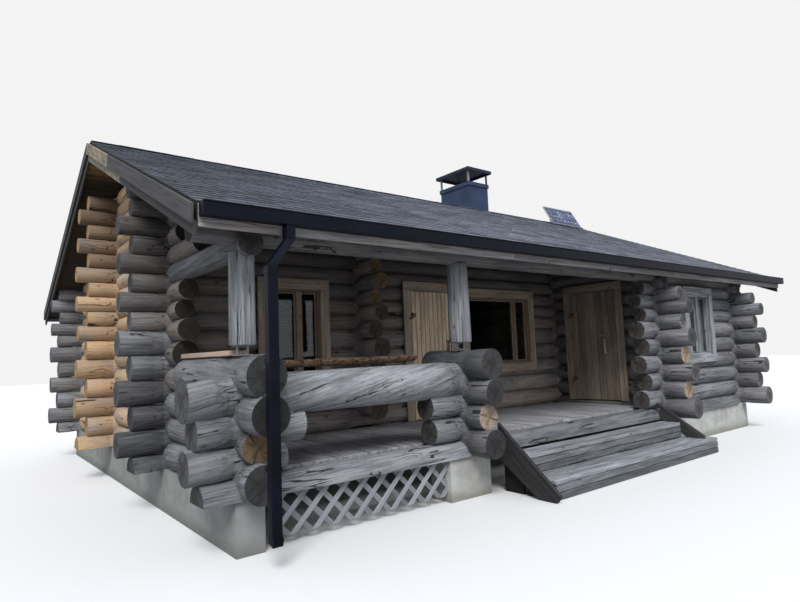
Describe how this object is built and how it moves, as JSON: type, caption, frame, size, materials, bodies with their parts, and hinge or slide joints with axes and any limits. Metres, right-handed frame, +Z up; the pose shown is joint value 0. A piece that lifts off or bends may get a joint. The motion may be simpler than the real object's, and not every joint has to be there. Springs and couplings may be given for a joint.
{
  "type": "log cabin",
  "caption": "Round-log cabin with a long gabled roof, a recessed porch behind a log railing, wide wooden steps, two plank doors and a metal-clad chimney.",
  "frame": {"origin": "ground level under the corner where the left gable wall crosses the porch front", "axes": "+X along the ridge to the right, +Y from the porch to the back, +Z up"},
  "size_m": [11, 8.714, 5.415],
  "materials": {
    "log_grey": "weathered",
    "log_brown": "weathered",
    "log_honey": "weathered",
    "board_grey": "weathered",
    "dark_board": "stained",
    "lattice_paint": "painted",
    "frame_wood": "varnished",
    "door_pale": "bare",
    "door_brown": "bare",
    "concrete": "painted",
    "roofing": "rough",
    "black_metal": "satin",
    "steel": "dull",
    "solar": "satin",
    "glass": "clear"
  },
  "bodies": {
    "house": {"plinth": "concrete", "back_wall": "log_grey", "living_wall_left": "log_brown", "living_wall_right": "log_brown", "living_wall_over_door": "log_brown", "room_front_wall": "log_grey", "left_gable_wall": "log_grey", "right_gable_wall": "log_grey", "room_side_front": "log_brown", "room_side_back": "log_brown", "room_side_over_door": "log_brown", "thresholds": "log_brown", "gable_cross_logs": "log_honey", "partition_log_ends": "log_brown", "porch_sill_log": "log_grey", "porch_rail_log": "log_grey", "porch_rail_stubs": "log_grey", "low_wall_top_log": "log_grey", "rail_end_stack": "log_grey", "shelf_planks": "board_grey", "porch_posts": "log_grey", "screw_jacks": "steel", "eave_log": "log_brown", "ridge_log": "log_brown", "porch_deck": "board_grey", "indoor_floor": "board_grey", "roof_front_slope": "roofing", "roof_back_slope": "roofing", "barge_boards": "board_grey", "fascias": "board_grey", "gutter": "black_metal", "downspout": "black_metal", "chimney": "black_metal", "chimney_hood": "black_metal", "solar_panel": "solar", "upper_step": "board_grey", "lower_step": "board_grey", "cheek_boards": "dark_board", "lattice": "lattice_paint", "porch_windows": "frame_wood", "window_room": "frame_wood", "window_glass": "glass", "door_casings": "frame_wood"},
    "porch_door_leaf": {"porch_door": "door_pale"},
    "room_door_leaf": {"room_door": "door_brown"}
  },
  "joints": [
    {"name": "porch_door_hinge", "type": "hinge", "parent": "house", "child": "porch_door_leaf", "pos_m": [3.204, 1.698, 1.5], "axis": [0, 0, -1], "range_deg": [0, 90]},
    {"name": "room_door_hinge", "type": "hinge", "parent": "house", "child": "room_door_leaf", "pos_m": [6.418, 1.391, 1.5], "axis": [0, 0, -1], "range_deg": [0, 90]}
  ]
}
